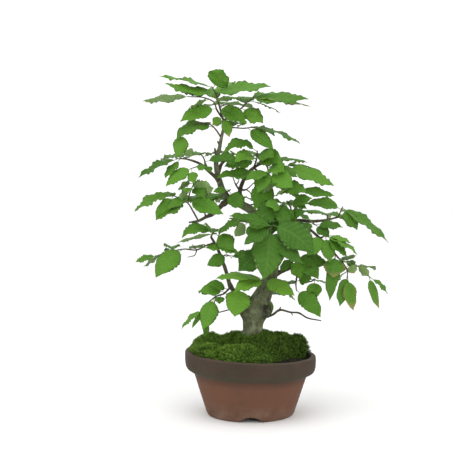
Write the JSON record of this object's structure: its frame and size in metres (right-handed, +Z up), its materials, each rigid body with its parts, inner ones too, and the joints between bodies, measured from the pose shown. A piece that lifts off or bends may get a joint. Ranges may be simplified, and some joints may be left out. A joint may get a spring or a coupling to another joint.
{
  "type": "potted bonsai tree",
  "caption": "Broad-leaved bonsai tree with a curved trunk and tiered leafy sprays, rooted in mossy soil in a round clay pot with a dark rim band.",
  "frame": {"origin": "under the middle of the whole object, on the surface it stands on", "axes": "+Z up, along the tree; the tree's front, with the pot's front foot arch, faces -Y"},
  "size_m": [0.3424, 0.1942, 0.4702],
  "materials": {
    "pot_clay": "unglazed fired clay with a dark smoked rim band",
    "soil": "dark damp granular soil",
    "moss": "short dense green fronds",
    "bark": "grey-brown bark with pale and dark patches",
    "leaf": "satin green blade with paler veins",
    "mesh_plastic": "black moulded mesh",
    "wire": "dull soft wire"
  },
  "bodies": {
    "root": {"branch_low_left": "bark", "branch_low_right": "bark", "branch_mid_left": "bark", "branch_mid_right": "bark", "branch_upper_left": "bark", "branch_upper_right": "bark", "dead_twig_right": "bark", "drainage_mesh": "mesh_plastic", "mesh_wire": "wire", "moss_back": "moss", "moss_collar": "moss", "moss_front": "moss", "moss_front_left": "moss", "moss_left": "moss", "moss_right": "moss", "moss_rim_tuft": "moss", "pot": "pot_clay", "soil": "soil", "spray_apex_left": "leaf", "spray_apex_right": "leaf", "spray_apex_top": "leaf", "spray_back_low": "leaf", "spray_back_middle": "leaf", "spray_back_upper": "leaf", "spray_centre_dark": "leaf", "spray_front_arch": "leaf", "spray_front_bright": "leaf", "spray_front_large": "leaf", "spray_low_left_dark": "leaf", "spray_low_left_hanging": "leaf", "spray_low_left_outer": "leaf", "spray_low_left_top": "leaf", "spray_low_right_end": "leaf", "spray_low_right_fine": "leaf", "spray_low_right_folded": "leaf", "spray_low_right_low": "leaf", "spray_mid_left_back": "leaf", "spray_mid_left_inner": "leaf", "spray_mid_left_outer": "leaf", "spray_mid_right_back": "leaf", "spray_mid_right_dark": "leaf", "spray_mid_right_end": "leaf", "spray_mid_right_upper": "leaf", "spray_top_left": "leaf", "spray_top_right": "leaf", "spray_trunk_right": "leaf", "spray_upper_left_end": "leaf", "spray_upper_left_front": "leaf", "spray_upper_right_arch": "leaf", "spray_upper_right_back": "leaf", "spray_upper_right_end": "leaf", "spray_upper_right_front": "leaf", "spray_upper_right_low": "leaf", "trunk": "bark"}
  },
  "joints": []
}
